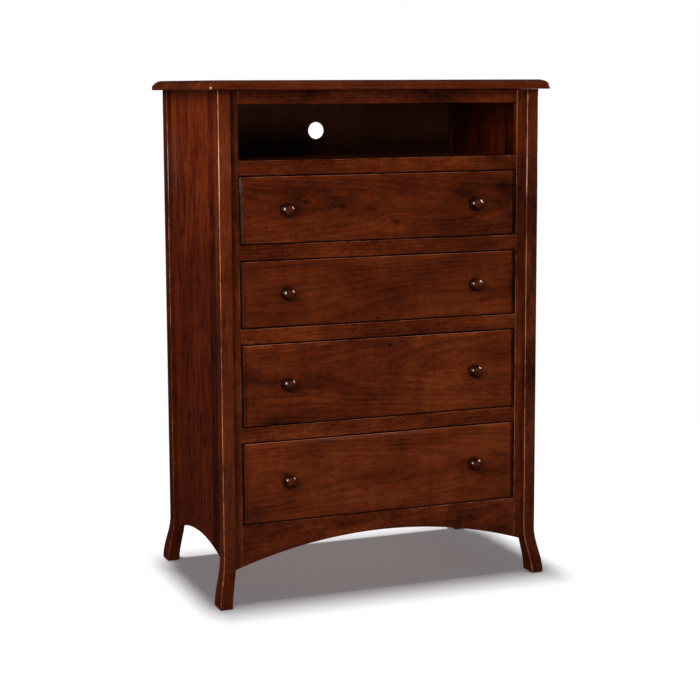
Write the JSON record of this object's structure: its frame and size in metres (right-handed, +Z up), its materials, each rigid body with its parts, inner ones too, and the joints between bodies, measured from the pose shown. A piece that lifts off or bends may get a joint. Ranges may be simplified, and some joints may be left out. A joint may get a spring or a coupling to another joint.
{
  "type": "media chest",
  "caption": "Tall dark wood chest with an open media compartment above its drawers, a moulded top, turned knobs and outward-flaring feet.",
  "frame": {"origin": "on the floor, under the middle of the chest", "axes": "+Z up; the drawers face -Y; +X is the right hand of someone standing before the chest"},
  "size_m": [0.951, 0.5533, 1.346],
  "materials": {
    "frame_wood": "dark reddish-brown stain under satin lacquer",
    "drawer_wood": "dark reddish-brown stain under satin lacquer, with a lively grain",
    "knob_wood": "very dark stain under gloss lacquer",
    "inner_wood": "thin brown stain, unpolished",
    "box_wood": "clear lacquer on pale wood"
  },
  "bodies": {
    "case": {"top_board": "frame_wood", "post_front_left": "frame_wood", "post_front_right": "frame_wood", "post_back_left": "frame_wood", "post_back_right": "frame_wood", "side_panel_left": "frame_wood", "side_panel_right": "frame_wood", "stile_left": "frame_wood", "stile_right": "frame_wood", "top_rail": "frame_wood", "shelf_rail": "frame_wood", "drawer_rail_1": "frame_wood", "drawer_rail_2": "frame_wood", "drawer_rail_3": "frame_wood", "apron": "frame_wood", "back_panel": "inner_wood", "back_rail_top": "inner_wood", "back_rail_bottom": "inner_wood", "compartment_shelf": "frame_wood", "shelf_cleat_left": "inner_wood", "shelf_cleat_right": "inner_wood", "top_cleat_left": "inner_wood", "top_cleat_right": "inner_wood", "runner_1_left": "inner_wood", "runner_1_right": "inner_wood", "runner_2_left": "inner_wood", "runner_2_right": "inner_wood", "runner_3_left": "inner_wood", "runner_3_right": "inner_wood", "runner_4_left": "inner_wood", "runner_4_right": "inner_wood"},
    "drawer_1": {"drawer_1_front": "drawer_wood", "drawer_1_side_left": "box_wood", "drawer_1_side_right": "box_wood", "drawer_1_back": "box_wood", "drawer_1_bottom": "box_wood", "drawer_1_knob_left": "knob_wood", "drawer_1_knob_right": "knob_wood"},
    "drawer_2": {"drawer_2_front": "drawer_wood", "drawer_2_side_left": "box_wood", "drawer_2_side_right": "box_wood", "drawer_2_back": "box_wood", "drawer_2_bottom": "box_wood", "drawer_2_knob_left": "knob_wood", "drawer_2_knob_right": "knob_wood"},
    "drawer_3": {"drawer_3_front": "drawer_wood", "drawer_3_side_left": "box_wood", "drawer_3_side_right": "box_wood", "drawer_3_back": "box_wood", "drawer_3_bottom": "box_wood", "drawer_3_knob_left": "knob_wood", "drawer_3_knob_right": "knob_wood"},
    "drawer_4": {"drawer_4_front": "drawer_wood", "drawer_4_side_left": "box_wood", "drawer_4_side_right": "box_wood", "drawer_4_back": "box_wood", "drawer_4_bottom": "box_wood", "drawer_4_knob_left": "knob_wood", "drawer_4_knob_right": "knob_wood"}
  },
  "joints": [
    {"name": "drawer_1_slide", "type": "slide", "parent": "case", "child": "drawer_1", "axis": [0, -1, 0], "range_m": [0, 0.35]},
    {"name": "drawer_2_slide", "type": "slide", "parent": "case", "child": "drawer_2", "axis": [0, -1, 0], "range_m": [0, 0.35]},
    {"name": "drawer_3_slide", "type": "slide", "parent": "case", "child": "drawer_3", "axis": [0, -1, 0], "range_m": [0, 0.35]},
    {"name": "drawer_4_slide", "type": "slide", "parent": "case", "child": "drawer_4", "axis": [0, -1, 0], "range_m": [0, 0.35]}
  ]
}
